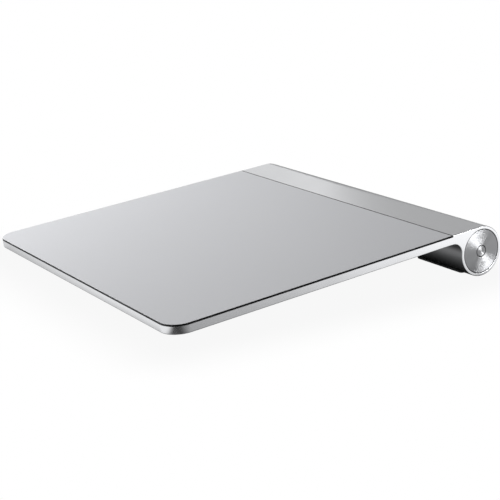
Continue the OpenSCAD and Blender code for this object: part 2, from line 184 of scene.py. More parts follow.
class TrackpadGlassSettings(bpy.types.PropertyGroup):
    """Sizes and finish of the touch glass"""

    edge_round: length_setting("Edge Round", "Width of the round on the glass's top edge",
                               0.1 * MM, 0.25 * MM)
    paint_colour: colour_setting("Paint", "Colour of the paint behind the glass", (0.6, 0.607, 0.63))
    edge_colour: colour_setting("Cut Edge", "Colour of the glass's cut edge", (0.025, 0.0255, 0.026))
    adhesive_colour: colour_setting("Adhesive", "Colour of the adhesive under the glass and in the seam",
                                    (0.025, 0.025, 0.027))


class TrackpadEndSettings(bpy.types.PropertyGroup):
    """Sizes and finish of the tube's two ends"""

    edge_round: length_setting("Edge Round", "Radius on the edges of the disc, the button and the cap",
                               0.1 * MM, 0.4 * MM)
    turn_steps: steps_setting("Turn Steps", "Faces round the turned pieces", 96)
    groove_pitch: length_setting("Groove Pitch", "Distance between the fine turned grooves",
                                 0.12 * MM, 0.5 * MM, 0.02 * MM)
    # The spun metal is the body's aluminium made far darker: painted shade over the disc and the button
    spun_shaded_colour: colour_setting("Spun Metal", "Colour of the spun metal", (0.35, 0.354, 0.363))


class TrackpadFeetSettings(bpy.types.PropertyGroup):
    """Finish of the feet"""

    rubber_colour: colour_setting("Rubber", "Colour of the feet's rubber", (0.28, 0.285, 0.29))
    plastic_colour: colour_setting("Plunger", "Colour of the feet's plastic plungers", (0.78, 0.78, 0.77))
    edge_round: length_setting("Edge Round", "Round on the feet's lower edge", 0.4 * MM, 0.8 * MM)


class TrackpadInsideSettings(bpy.types.PropertyGroup):
    """Colours of what lies inside"""

    jacket_colour: colour_setting("Cell Jacket", "Colour of the cells' jackets", (0.05, 0.055, 0.06))
    band_colour: colour_setting("Cell Band", "Colour of the band on the cells' jackets", (0.42, 0.24, 0.1))
    board_colour: colour_setting("Board", "Colour of the circuit boards", (0.01, 0.09, 0.035))
    steel_colour: colour_setting("Spring Steel", "Colour of the spring, clips and domes", (0.62, 0.61, 0.58))


class TrackpadStageSettings(bpy.types.PropertyGroup):
    """Floor and light"""

    floor_colour: colour_setting("Floor", "Colour of the floor", (0.06, 0.06, 0.06))
    room_level: bpy.props.FloatProperty(
        name="Room", description="Brightness of the plain room", default=0.24, min=0, max=2)
    left_power: power_setting("Left", "Power of the soft lamp on the left", 0.33)
    back_power: power_setting("Left Back", "Power of the dimmer lamp behind it", 0.1)
    front_power: power_setting("Front", "Power of the low lamp in front", 7.5)
    right_power: power_setting("Right", "Power of the low lamp beyond the right end", 3.4)
    fill_power: power_setting("Fill", "Power of the high lamp that lifts the glass", 1.27)


def add_node(tree, kind, **values):
    """A new shader node with some of its own settings or its inputs filled in."""
    node = tree.nodes.new(kind)
    for name, value in values.items():
        if name in node.inputs:
            node.inputs[name].default_value = value
        else:
            setattr(node, name, value)
    return node


def ramp(tree, source, start, end, low=0, high=1, smooth=False):
    """Carries a socket's values from start to end into the range from low to high."""
    node = add_node(tree, "ShaderNodeMapRange", interpolation_type="SMOOTHSTEP" if smooth else "LINEAR")
    node.inputs["From Min"].default_value = start
    node.inputs["From Max"].default_value = end
    node.inputs["To Min"].default_value = low
    node.inputs["To Max"].default_value = high
    tree.links.new(source, node.inputs["Value"])
    return node


def value_step(tree, operation, first, second):
    """One step of arithmetic on two sockets."""
    node = add_node(tree, "ShaderNodeMath", operation=operation)
    tree.links.new(first, node.inputs[0])
    tree.links.new(second, node.inputs[1])
    return node.outputs[0]


def vector_step(tree, operation, source, second=(0, 0, 0)):
    """One step of vector arithmetic on a socket and a fixed vector."""
    node = add_node(tree, "ShaderNodeVectorMath", operation=operation)
    node.inputs[1].default_value = second
    tree.links.new(source, node.inputs[0])
    return node.outputs["Value" if operation in ("LENGTH", "DOT_PRODUCT") else "Vector"]


def start_group(name, inputs, outputs):
    """An empty shader node group with its sockets, and its two end nodes."""
    tree = bpy.data.node_groups.new(name, "ShaderNodeTree")
    for label, value in inputs.items():
        socket = tree.interface.new_socket(label, in_out="INPUT", socket_type="NodeSocketFloat")
        socket.default_value = value
    for label in outputs:
        tree.interface.new_socket(label, in_out="OUTPUT", socket_type="NodeSocketFloat")
    entry = tree.nodes.new("NodeGroupInput")
    result = tree.nodes.new("NodeGroupOutput")
    return tree, entry, result


def sized_noise(tree, size, **values):
    """Noise over the object whose patches are about as large as a size socket says."""
    where = add_node(tree, "ShaderNodeTexCoord")
    scale = add_node(tree, "ShaderNodeMath", operation="DIVIDE")
    scale.inputs[0].default_value = 1
    noise = add_node(tree, "ShaderNodeTexNoise", **values)
    tree.links.new(size, scale.inputs[1])
    tree.links.new(where.outputs["Object"], noise.inputs["Vector"])
    tree.links.new(scale.outputs[0], noise.inputs["Scale"])
    return noise.outputs["Fac"]


def grain_group():
    """Even fine grain, as on blasted metal, etched glass or moulded plastic."""
    known = bpy.data.node_groups.get("Fine Grain")
    if known:
        return known
    tree, entry, result = start_group("Fine Grain", {"Size": 0.2 * MM}, ("Height", "Mask"))
    fine = sized_noise(tree, entry.outputs["Size"], Detail=3, Roughness=0.6)
    mask = ramp(tree, fine, 0.35, 0.65)
    tree.links.new(fine, result.inputs["Height"])
    tree.links.new(mask.outputs["Result"], result.inputs["Mask"])
    return tree


def handling_group():
    """Large soft patches where a surface has been touched or wiped."""
    known = bpy.data.node_groups.get("Handling")
    if known:
        return known
    tree, entry, result = start_group("Handling", {"Size": 30 * MM, "Amount": 1}, ("Mask",))
    broad = sized_noise(tree, entry.outputs["Size"], Detail=2, Roughness=0.5, Distortion=0.6)
    soft = ramp(tree, broad, 0.3, 0.7, smooth=True)
    tree.links.new(entry.outputs["Amount"], soft.inputs["To Max"])
    tree.links.new(soft.outputs["Result"], result.inputs["Mask"])
    return tree


def turned_group():
    """Fine uneven rings round the tube's axis, left by a lathe tool."""
    known = bpy.data.node_groups.get("Turned Rings")
    if known:
        return known
    tree, entry, result = start_group("Turned Rings", {"Pitch": 0.12 * MM}, ("Height", "Mask"))
    where = add_node(tree, "ShaderNodeTexCoord").outputs["Object"]
    centre = vector_step(tree, "SUBTRACT", where, (0, TUBE_Y, TUBE_Z))
    flat = vector_step(tree, "MULTIPLY", centre, (0, 1, 1))
    reach = vector_step(tree, "LENGTH", flat)
    count = value_step(tree, "DIVIDE", reach, entry.outputs["Pitch"])
    rings = add_node(tree, "ShaderNodeTexNoise", noise_dimensions="1D", Scale=1, Detail=2, Roughness=0.6)
    mask = ramp(tree, rings.outputs["Fac"], 0.3, 0.7)
    tree.links.new(count, rings.inputs["W"])
    tree.links.new(rings.outputs["Fac"], result.inputs["Height"])
    tree.links.new(mask.outputs["Result"], result.inputs["Mask"])
    return tree


def place_group(tree, group, **values):
    """One of the shared groups in a material, with its own values."""
    node = tree.nodes.new("ShaderNodeGroup")
    node.node_tree = group
    for name, value in values.items():
        node.inputs[name].default_value = value
    return node


def start_material(name, **values):
    """A new material with its Principled shader; the values are set on the shader's own sockets."""
    material = bpy.data.materials.new(name)
    material.use_nodes = True
    shader = material.node_tree.nodes["Principled BSDF"]
    for label, value in values.items():
        label = label.replace("_", " ")
        if label.endswith("Color"):
            value = (*value, 1)
        shader.inputs[label].default_value = value
    return material, material.node_tree, shader


def vary(tree, mask, low, high, target):
    """Carries a mask to a socket as a value between low and high."""
    span = ramp(tree, mask, 0, 1, low, high)
    tree.links.new(span.outputs["Result"], target)


def tint(tree, mask, first, second, target):
    """Carries a mask to a colour socket as a blend of two colours."""
    blend = add_node(tree, "ShaderNodeMix", data_type="RGBA")
    blend.inputs[6].default_value = (*first, 1)
    blend.inputs[7].default_value = (*second, 1)
    tree.links.new(mask, blend.inputs[0])
    tree.links.new(blend.outputs[2], target)


def emboss(tree, height, strength, depth, shader):
    """Turns a height into fine relief on the shader's normal."""
    bump = add_node(tree, "ShaderNodeBump", Strength=strength, Distance=depth)
    tree.links.new(height, bump.inputs["Height"])
    tree.links.new(bump.outputs["Normal"], shader.inputs["Normal"])


def shade(colour, factor):
    """A colour made lighter or darker, as a plain tuple."""
    return tuple(min(1, channel * factor) for channel in colour)


def blasted_metal(name, colour, grain):
    """Bead-blasted, anodised aluminium."""
    material, tree, shader = start_material(name, Metallic=1)
    fine = place_group(tree, grain_group(), Size=grain)
    touch = place_group(tree, handling_group(), Size=35 * MM)
    tint(tree, fine.outputs["Mask"], shade(colour, 0.97), shade(colour, 1.03), shader.inputs["Base Color"])
    vary(tree, touch.outputs["Mask"], 0.24, 0.27, shader.inputs["Roughness"])
    emboss(tree, fine.outputs["Height"], 0.2, grain * 0.05, shader)
    return material


def spun_metal(name, colour, pitch):
    """Aluminium with a spun face: fine rings that stretch each reflection outwards."""
    material, tree, shader = start_material(name, Metallic=1, Anisotropic=1, Anisotropic_Rotation=0.25)
    rings = place_group(tree, turned_group(), Pitch=pitch)
    around = add_node(tree, "ShaderNodeTangent", direction_type="RADIAL", axis="X")
    tint(tree, rings.outputs["Mask"], shade(colour, 0.95), shade(colour, 1.04), shader.inputs["Base Color"])
    vary(tree, rings.outputs["Mask"], 0.3, 0.36, shader.inputs["Roughness"])
    emboss(tree, rings.outputs["Height"], 1, pitch * 0.35, shader)
    tree.links.new(around.outputs["Tangent"], shader.inputs["Tangent"])
    return material


def painted_glass(name, colour):
    """Etched glass with a pale paint behind it."""
    material, tree, shader = start_material(name, IOR=1.5, Specular_IOR_Level=1)
    fine = place_group(tree, grain_group(), Size=0.12 * MM)
    touch = place_group(tree, handling_group(), Size=50 * MM)
    tint(tree, touch.outputs["Mask"], shade(colour, 0.99), shade(colour, 1.01), shader.inputs["Base Color"])
    vary(tree, touch.outputs["Mask"], 0.4, 0.46, shader.inputs["Roughness"])
    emboss(tree, fine.outputs["Height"], 0.12, 0.004 * MM, shader)
    return material


def cut_glass_edge(name, colour):
    """The ground edge of the glass, dark because light runs into the sheet."""
    material, tree, shader = start_material(name, IOR=1.5, Specular_IOR_Level=0.15)
    fine = place_group(tree, grain_group(), Size=0.1 * MM)
    tint(tree, fine.outputs["Mask"], shade(colour, 0.85), shade(colour, 1.2), shader.inputs["Base Color"])
    vary(tree, fine.outputs["Mask"], 0.5, 0.65, shader.inputs["Roughness"])
    return material


def moulded(name, colour, rough, grain, relief):
    """Moulded plastic, rubber, resin or foam with its own grain."""
    material, tree, shader = start_material(name, IOR=1.5)
    fine = place_group(tree, grain_group(), Size=grain)
    touch = place_group(tree, handling_group(), Size=grain * 40)
    tint(tree, touch.outputs["Mask"], shade(colour, 0.92), shade(colour, 1.06), shader.inputs["Base Color"])
    vary(tree, fine.outputs["Mask"], rough - 0.06, rough + 0.06, shader.inputs["Roughness"])
    emboss(tree, fine.outputs["Height"], relief, grain * 0.2, shader)
    return material


# Marks in each metre of rolled metal, along the sheet and across it
ROLLED_GRAIN = (300, 9000, 9000)


def sheet_metal(name, colour, rough):
    """Rolled spring steel, plated brass or a stamped shield."""
    material, tree, shader = start_material(name, Metallic=1)
    where = add_node(tree, "ShaderNodeTexCoord")
    rolled = add_node(tree, "ShaderNodeMapping", vector_type="POINT")
    rolled.inputs["Scale"].default_value = ROLLED_GRAIN
    lines = add_node(tree, "ShaderNodeTexNoise", Scale=1, Detail=2)
    tree.links.new(where.outputs["Object"], rolled.inputs["Vector"])
    tree.links.new(rolled.outputs["Vector"], lines.inputs["Vector"])
    tint(tree, lines.outputs["Fac"], shade(colour, 0.86), shade(colour, 1.1), shader.inputs["Base Color"])
    vary(tree, lines.outputs["Fac"], rough - 0.08, rough + 0.08, shader.inputs["Roughness"])
    emboss(tree, lines.outputs["Fac"], 0.1, 0.01 * MM, shader)
    return material


def circuit_board(name, colour):
    """Solder mask over copper tracks."""
    material, tree, shader = start_material(name, IOR=1.5, Coat_Weight=0.3, Coat_Roughness=0.15)
    where = add_node(tree, "ShaderNodeTexCoord")
    tracks = add_node(tree, "ShaderNodeTexBrick", offset=0.37, squash=1.6, squash_frequency=3)
    tracks.inputs["Scale"].default_value = 160
    tracks.inputs["Mortar Size"].default_value = 0.012
    tracks.inputs["Color1"].default_value = (*shade(colour, 0.9), 1)
    tracks.inputs["Color2"].default_value = (*shade(colour, 1.15), 1)
    tracks.inputs["Mortar"].default_value = (*shade(colour, 2.2), 1)
    tree.links.new(where.outputs["Object"], tracks.inputs["Vector"])
    tree.links.new(tracks.outputs["Color"], shader.inputs["Base Color"])
    vary(tree, tracks.outputs["Fac"], 0.34, 0.26, shader.inputs["Roughness"])
    emboss(tree, tracks.outputs["Fac"], 0.3, 0.03 * MM, shader)
    return material


def clear_lens(name, colour):
    """Milky lens over the status light."""
    material, tree, shader = start_material(name, IOR=1.5, Transmission_Weight=0.4)
    fine = place_group(tree, grain_group(), Size=0.1 * MM)
    tint(tree, fine.outputs["Mask"], shade(colour, 0.95), colour, shader.inputs["Base Color"])
    vary(tree, fine.outputs["Mask"], 0.2, 0.3, shader.inputs["Roughness"])
    return material


def cell_jacket(name, colour, band_colour, band_x):
    """Shrink sleeve of a cell: plain, with a metallic band towards the positive end."""
    material, tree, shader = start_material(name, IOR=1.5)
    where = add_node(tree, "ShaderNodeTexCoord")
    along = add_node(tree, "ShaderNodeSeparateXYZ")
    tree.links.new(where.outputs["Object"], along.inputs[0])
    band = ramp(tree, along.outputs["X"], band_x, band_x + 0.2 * MM)
    tint(tree, band.outputs["Result"], colour, band_colour, shader.inputs["Base Color"])
    vary(tree, band.outputs["Result"], 0.2, 0.8, shader.inputs["Metallic"])
    fine = place_group(tree, grain_group(), Size=0.3 * MM)
    vary(tree, fine.outputs["Mask"], 0.22, 0.3, shader.inputs["Roughness"])
    return material


def finish_piece(name, mesh, materials, body, slot, *nodes):
    """Makes the object of a mesh, hangs it under the empty of the body it rides on, and hides the CAD nodes
    it stands for.
    """
    mesh.update()
    for material in materials:
        mesh.materials.append(material)
    piece = bpy.data.objects.new(name, mesh)
    bpy.context.scene.collection.objects.link(piece)
    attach(piece, body)
    if nodes:
        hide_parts(*nodes)
    return piece


def mesh_of(bm, name):
    """Closes a bmesh: one skin, normals outwards, smooth faces with crisp corners."""
    bmesh.ops.recalc_face_normals(bm, faces=bm.faces)
    for face in bm.faces:
        face.smooth = True
    mesh = bpy.data.meshes.new(name)
    bm.to_mesh(mesh)
    bm.free()
    mesh.set_sharp_from_angle(angle=CREASE)
    return mesh


def keep_flat(piece):
    """Keeps flat faces flat beside the rounds of their edges."""
    even = piece.modifiers.new("Flat Faces", "WEIGHTED_NORMAL")
    even.keep_sharp = True


def soften(piece, width, by_weight=False):
    """Rounds the edges of a piece or a CAD node and keeps its flat faces flat."""
    bevel = piece.modifiers.new("Edge Round", "BEVEL")
    bevel.width = width
    bevel.segments = 3
    bevel.limit_method = "WEIGHT" if by_weight else "ANGLE"
    bevel.angle_limit = CREASE
    bevel.use_clamp_overlap = not by_weight
    keep_flat(piece)


def arc(centre, radius, start, end, steps):
    """Points on a round arc in a plane, both ends included; angles in degrees."""
    points = []
    for i in range(steps + 1):
        angle = math.radians(start + (end - start) * i / steps)
        points.append((centre[0] + radius * math.cos(angle), centre[1] + radius * math.sin(angle)))
    return points


def front_outline(inset, back, steps=16):
    """Plan of the plate set in from its edges: back left, round the front, back right."""
    half = END_X - inset
    radius = CORNER_R - inset
    left = arc((radius - half, inset + radius), radius, 180, 270, steps)
    right = arc((half - radius, inset + radius), radius, 270, 360, steps)
    return [(-half, back), *left, *right, (half, back)]


def ring_of(bm, points):
    """New vertices at some points."""
    return [bm.verts.new(point) for point in points]


def loop_edges(bm, verts):
    """The edges of a closed loop, made where they are missing."""
    edges = []
    for a, b in zip(verts, verts[1:] + verts[:1]):
        edges.append(bm.edges.get((a, b)) or bm.edges.new((a, b)))
    return edges


def bridge(bm, first, second, closed=True):
    """Four-sided faces between two rows of vertices."""
    count = len(first) if closed else len(first) - 1
    for i in range(count):
        k = (i + 1) % len(first)
        bm.faces.new((first[i], first[k], second[k], second[i]))


def loft(bm, rings):
    """Skin over a row of rings, with a face on both ends."""
    for first, second in zip(rings, rings[1:]):
        bridge(bm, first, second)
    bm.faces.new(rings[0])
    bm.faces.new(rings[-1])


def weigh(bm, layer, verts, weight):
    """Gives the edges along a row of vertices their share of the edge round."""
    for a, b in zip(verts, verts[1:]):
        edge = bm.edges.get((a, b))
        if edge is None:
            raise RuntimeError("the edge that should be rounded is missing")
        edge[layer] = weight


def groove(turn):
    """Depth of a screw thread, from 0 on its crest to 1 in its root, over one turn."""
    from_root = abs(turn % 1 - 0.5)
    rise = min(1, max(0, from_root * FLANK_SLOPE - FLANK_START))
    return 1 - rise * rise * (3 - 2 * rise)


def thread_rows(start, end):
    """Places along a thread, and how deep it is cut there."""
    count = int((end - start) / THREAD_PITCH * THREAD_STEPS)
    rows = []
    for i in range(count + 1):
        share = i / count
        fade = min(1, share * THREAD_FADE, (1 - share) * THREAD_FADE)
        rows.append((start + (end - start) * share, fade * THREAD_DEPTH))
    return rows


def foot_circle(bm, x, v, n, radius, steps=32):
    """A ring of vertices square to the plate."""
    points = arc((x, v), radius, 0, 360 * (steps - 1) / steps, steps - 1)
    return ring_of(bm, [on_plate(a, b, n) for a, b in points])


FOOT_V = 15 * MM
FOOT_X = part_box("foot_pad_right")[0].x / 2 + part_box("foot_pad_right")[1].x / 2
STEM_HOLE_R = 2.56 * MM

# Shares of the body's edge round at the tube's mouth and at the two ends
MOUTH_ROUND = 0.5
END_ROUND = 0.8


def body_mesh(tube_steps):
    """The body: pocketed plate, strip behind the seam and bored tube in one skin."""
    bm = bmesh.new()
    weights = bm.edges.layers.float.new("bevel_weight_edge")
    strip_v = SEAM_V + SEAM_GAP
    fillet_n = -PLATE_T - FILLET_R
    rise = fillet_n - TUBE_N
    fillet_v = TUBE_V - math.sqrt((TUBE_R + FILLET_R) ** 2 - rise ** 2)
    under_tilt = math.degrees(math.asin(rise / (TUBE_R + FILLET_R)))
    top_angle = 180 - math.degrees(math.asin(-TUBE_N / TUBE_R))

    outer = front_outline(0, strip_v)
    inner = front_outline(RIM_W, POCKET_END)
    rim = ring_of(bm, [on_plate(x, v, -STACK_T) for x, v in outer])
    lip = ring_of(bm, [on_plate(x, v, -STACK_T) for x, v in inner])
    floor = ring_of(bm, [on_plate(x, v, FLOOR_N) for x, v in inner])
    under = ring_of(bm, [on_plate(x, v, -PLATE_T) for x, v in front_outline(0, fillet_v)])
    border = front_outline(UNDER_BORDER, fillet_v - UNDER_BORDER)
    belly = ring_of(bm, [on_plate(x, v, -PLATE_T) for x, v in border])
    bridge(bm, rim, lip)
    bridge(bm, lip, floor)
    bridge(bm, under, belly)
    bridge(bm, rim[1:-1], under[1:-1], closed=False)

    floor_edges = loop_edges(bm, floor)
    under_edges = loop_edges(bm, belly)
    for x in (-FOOT_X, FOOT_X):
        upper = foot_circle(bm, x, FOOT_V, FLOOR_N, STEM_HOLE_R)
        lower = foot_circle(bm, x, FOOT_V, -PLATE_T, STEM_HOLE_R)
        bridge(bm, upper, lower)
        floor_edges += loop_edges(bm, upper)
        under_edges += loop_edges(bm, lower)
    bmesh.ops.triangle_fill(bm, use_beauty=True, use_dissolve=False, edges=floor_edges)
    bmesh.ops.triangle_fill(bm, use_beauty=True, use_dissolve=False, edges=under_edges)

    skin_points = arc((TUBE_V, TUBE_N), TUBE_R, top_angle, -180 - under_tilt, tube_steps)
    joined_points = arc((TUBE_V, TUBE_N), TUBE_R, 180 - under_tilt, top_angle, tube_steps // 4)[1:-1]
    fillet_points = arc((fillet_v, fillet_n), FILLET_R, -under_tilt, 90, tube_steps // 4)[1:-1]
    angles = [math.atan2(n - TUBE_N, v - TUBE_V) for v, n in skin_points + joined_points]

    bore = []
    for x, cut in [(-END_X, 0), *thread_rows(-END_X + THREAD_LEAD_IN, CAP_HIGH.x), (END_X, 0)]:
        ring = []
        for angle in angles:
            depth = cut * groove(x / THREAD_PITCH + (angle + TILT) / math.tau + 0.5)
            ring.append(bm.verts.new(on_tube(x, BORE_R + depth, angle + TILT)))
        if bore:
            bridge(bm, bore[-1], ring)
        bore.append(ring)

    ends = []
    for x, corner, arc_end, ring in ((-END_X, 0, 1, bore[0]), (END_X, -1, -2, bore[-1])):
        top = bm.verts.new(on_plate(x, strip_v, 0))
        skin = ring_of(bm, [on_plate(x, v, n) for v, n in skin_points])
        fillet = ring_of(bm, [on_plate(x, v, n) for v, n in fillet_points])
        bridge(bm, skin, ring[:len(skin)], closed=False)
        bm.faces.new([under[arc_end], rim[arc_end], rim[corner], top, skin[0], ring[0],
                      *ring[:len(skin) - 2:-1], skin[-1], *fillet, under[corner]])
        ends.append([rim[corner], top, *skin, *fillet, under[corner]])
        weigh(bm, weights, ring + ring[:1], MOUTH_ROUND)
    bridge(bm, ends[0], ends[1], closed=False)

    weigh(bm, weights, under, 1)
    for row in ends:
        weigh(bm, weights, row, END_ROUND)
    return mesh_of(bm, "Body")


class TRACKPAD_OT_body(bpy.types.Operator):
    """Builds the metal body with its tube, pocket and rounded edges"""

    bl_idname = "trackpad.body"
    bl_label = "Metal Body"

    def execute(self, context):
        settings = context.scene.trackpad_body
        metal = blasted_metal("Anodised_Aluminium", settings.metal_colour, settings.grain_size)
        piece = finish_piece("Body", body_mesh(settings.tube_steps), [metal], "chassis", "anodised_aluminium",
                             "body_shell")
        soften(piece, settings.edge_round, by_weight=True)
        return {"FINISHED"}


def adhesive_mesh():
    """The dark frame of adhesive under the glass, with the bead that fills the seam behind it."""
    bm = bmesh.new()
    setback = 0.3 * MM
    outer = front_outline(GLASS_INSET + setback, SEAM_V - setback)
    inner = front_outline(RIM_W, POCKET_END)
    rings = []
    for n in (-STACK_T, -GLASS_T):
        rings.append([ring_of(bm, [on_plate(x, v, n) for x, v in plan]) for plan in (outer, inner)])
    (low_out, low_in), (high_out, high_in) = rings
    bridge(bm, low_out, low_in)
    bridge(bm, high_out, high_in)
    bridge(bm, low_out, high_out)
    bridge(bm, low_in, high_in)
    bead_end = END_X - 0.25 * MM
    bead_round = 0.04 * MM
    section = rounded([(SEAM_V, -STACK_T), (SEAM_V, -SEAM_DEPTH), (SEAM_V + SEAM_GAP, -SEAM_DEPTH),
                       (SEAM_V + SEAM_GAP, -STACK_T)], bead_round)
    left = ring_of(bm, [on_plate(-bead_end, v, n) for v, n in section])
    right = ring_of(bm, [on_plate(bead_end, v, n) for v, n in section])
    loft(bm, [left, right])
    return mesh_of(bm, "Glass_Adhesive")


class TRACKPAD_OT_glass(bpy.types.Operator):
    """Builds the touch glass with its dark cut edge, and the adhesive that holds it"""

    bl_idname = "trackpad.glass"
    bl_label = "Touch Glass"

    def execute(self, context):
        settings = context.scene.trackpad_glass
        bm = bmesh.new()
        weights = bm.edges.layers.float.new("bevel_weight_edge")
        outline = front_outline(GLASS_INSET, SEAM_V)
        top = ring_of(bm, [on_plate(x, v, 0) for x, v in outline])
        bottom = ring_of(bm, [on_plate(x, v, -GLASS_T) for x, v in outline])
        loft(bm, [top, bottom])
        for face in bm.faces:
            face.material_index = 1 if len(face.verts) == 4 else 0
        weigh(bm, weights, top + top[:1], 1)
        weigh(bm, weights, bottom + bottom[:1], 0.4)
        materials = [painted_glass("Painted_Glass", settings.paint_colour),
                     cut_glass_edge("Glass_Cut_Edge", settings.edge_colour)]
        piece = finish_piece("Touch_Glass", mesh_of(bm, "Touch_Glass"), materials, "chassis", "painted_glass",
                             "glass_plate")
        soften(piece, settings.edge_round, by_weight=True)
        adhesive = moulded("Dark_Adhesive", settings.adhesive_colour, 0.6, 0.3 * MM, 0.2)
        finish_piece("Glass_Adhesive", adhesive_mesh(), [adhesive], "chassis", "dark_adhesive",
                     "glass_adhesive")
        return {"FINISHED"}


def rounded(points, radius, steps=4):
    """A row of points with each inner corner turned into a small round."""
    row = [points[0]]
    for before, corner, after in zip(points, points[1:], points[2:]):
        corner = Vector(corner)
        into = Vector(before) - corner
        away = Vector(after) - corner
        reach = min(radius, into.length * 0.45, away.length * 0.45)
        start = corner + into.normalized() * reach
        end = corner + away.normalized() * reach
        for i in range(steps + 1):
            t = i / steps
            row.append(tuple(start * (1 - t) ** 2 + corner * (2 * t * (1 - t)) + end * t ** 2))
    row.append(points[-1])
    return row


# A profile's point nearer to the axis than this lies on it
ON_AXIS = 1e-7


def turned_mesh(name, profile, steps, closed=False, place=on_tube):
    """Solid turned from rows of (height, radius), about the tube's axis unless another place is given.

    An open profile starts and ends on the axis.
    """
    bm = bmesh.new()
    rings = []
    for x, radius in profile:
        if radius < ON_AXIS:
            rings.append([bm.verts.new(place(x, 0, 0))])
        else:
            rings.append(ring_of(bm, [place(x, radius, math.tau * i / steps) for i in range(steps)]))
    pairs = list(zip(rings, rings[1:]))
    if closed:
        pairs.append((rings[-1], rings[0]))
    for first, second in pairs:
        if len(first) == 1:
            first, second = second, first
        if len(second) > 1:
            bridge(bm, first, second)
            continue
        for i in range(steps):
            bm.faces.new((first[i], first[(i + 1) % steps], second[0]))
    return mesh_of(bm, name)


class TRACKPAD_OT_power_end(bpy.types.Operator):
    """Builds the spun end disc and the power button in it"""

    bl_idname = "trackpad.power_end"
    bl_label = "Power End"

    def execute(self, context):
        settings = context.scene.trackpad_end
        # Painted shade: the spun metal's colour is set far darker than the body's aluminium
        spun = spun_metal("Spun_Aluminium_Painted_Dark", settings.spun_shaded_colour, settings.groove_pitch)
        button_low, button_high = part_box("power_button")
        flange_x = button_low.x + 0.9 * MM
        flange_r = (button_high.y - button_low.y) / 2
        button_r = flange_r - 0.85 * MM
        hole_r = button_r + 0.3 * MM
        back_x = DISC_HIGH.x - 1.6 * MM
        boss_x = back_x - 2 * MM
        skirt_in = DISC_R - 1.5 * MM
        boss_r = hole_r + 1.3 * MM
        rim_r = DISC_R - 0.12 * MM
        loop = [(DISC_LOW.x, DISC_R), (back_x, DISC_R), (back_x, rim_r), (DISC_HIGH.x, rim_r),
                (DISC_HIGH.x, hole_r), (boss_x, hole_r), (boss_x, boss_r), (back_x, boss_r),
                (back_x, skirt_in), (DISC_LOW.x, skirt_in)]
        smooth = rounded([loop[-1], *loop, loop[0]], settings.edge_round)[1:-1]
        disc = turned_mesh("End_Disc", smooth, settings.turn_steps, closed=True)
        keep_flat(finish_piece("End_Disc", disc, [spun], "chassis", "spun_aluminium", "end_disc"))
        profile = [(button_high.x, 0), (button_high.x, button_r), (flange_x, button_r),
                   (flange_x, flange_r), (button_low.x, flange_r), (button_low.x, 0)]
        button = turned_mesh("Power_Button", rounded(profile, settings.edge_round), settings.turn_steps)
        keep_flat(finish_piece("Power_Button", button, [spun], "power_button", "spun_aluminium",
                               "power_button"))
        return {"FINISHED"}


COIN_SLOT_W = 1.6 * MM
COIN_SLOT_D = 1.2 * MM
CAP_FACE_T = 2.7 * MM
CAP_WALL = 1.85 * MM
CAP_PLAIN_T = CAP_FACE_T * 0.8
SLOT_END_ROUND = 0.6


def cap_mesh(steps):
    """The battery cap: coin slot in its face, a cut thread round it and a cup behind."""
    bm = bmesh.new()
    weights = bm.edges.layers.float.new("bevel_weight_edge")
    half = math.asin(COIN_SLOT_W / 2 / CAP_R)
    quarter = max(6, steps // 4)
    upper = [half + (math.pi - 2 * half) * i / (2 * quarter) for i in range(2 * quarter + 1)]
    angles = [*upper, math.pi, *(a + math.pi for a in upper), math.tau]
    count = len(upper)
    top = range(count)
    left = range(count - 1, count + 2)
    low = range(count + 1, 2 * count + 1)
    right = [2 * count, 2 * count + 1, 0]

    face_x = CAP_LOW.x
    slot_x = face_x + COIN_SLOT_D
    face = {i: bm.verts.new(on_tube(face_x, CAP_R, angles[i])) for i in [*top, *low]}
    level = ring_of(bm, [on_tube(slot_x, CAP_R, a) for a in angles])
    bm.faces.new([face[i] for i in top])
    bm.faces.new([face[i] for i in low])
    bm.faces.new([level[i] for i in [*left, *right]])
    for part in (top, low):
        for a, b in zip(part, part[1:]):
            bm.faces.new((face[a], face[b], level[b], level[a]))
        first, last = part[0], part[-1]
        bm.faces.new((face[first], face[last], level[last], level[first]))
        weigh(bm, weights, [face[i] for i in part] + [face[first]], 1)
        weigh(bm, weights, [level[first], face[first]], SLOT_END_ROUND)
        weigh(bm, weights, [level[last], face[last]], SLOT_END_ROUND)

    previous = level
    for x, cut in thread_rows(face_x + CAP_PLAIN_T, CAP_HIGH.x):
        ring = []
        for angle in angles:
            depth = cut * groove(x / THREAD_PITCH + angle / math.tau)
            ring.append(bm.verts.new(on_tube(x, CAP_R - depth, angle)))
        bridge(bm, previous, ring)
        previous = ring
    weigh(bm, weights, previous + previous[:1], 1)
    cup_r = CAP_R - CAP_WALL
    mouth_ring = ring_of(bm, [on_tube(CAP_HIGH.x, cup_r, a) for a in angles])
    floor_ring = ring_of(bm, [on_tube(face_x + CAP_FACE_T, cup_r, a) for a in angles])
    bridge(bm, previous, mouth_ring)
    bridge(bm, mouth_ring, floor_ring)
    bm.faces.new(floor_ring)
    weigh(bm, weights, mouth_ring + mouth_ring[:1], 1)
    return mesh_of(bm, "Battery_Cap")


def spring_mesh():
    """The contact spring: one round wire wound as a cone."""
    low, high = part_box("cap_contact_spring")
    wire_r = 0.35 * MM
    base_r = (high.y - low.y) / 2 - wire_r
    tip_r = 2.6 * MM
    turns = 5
    steps = 40 * turns
    sides = 12
    bm = bmesh.new()
    rings = []
    for i in range(steps + 1):
        t = i / steps
        angle = math.tau * turns * t
        radius = base_r + (tip_r - base_r) * t
        x = low.x + wire_r + (high.x - low.x - 2 * wire_r) * t
        ring = []
        for k in range(sides):
            around = math.tau * k / sides
            ring.append(bm.verts.new(on_tube(
                x + wire_r * math.sin(around), radius + wire_r * math.cos(around), angle)))
        rings.append(ring)
    loft(bm, rings)
    return mesh_of(bm, "Contact_Spring")


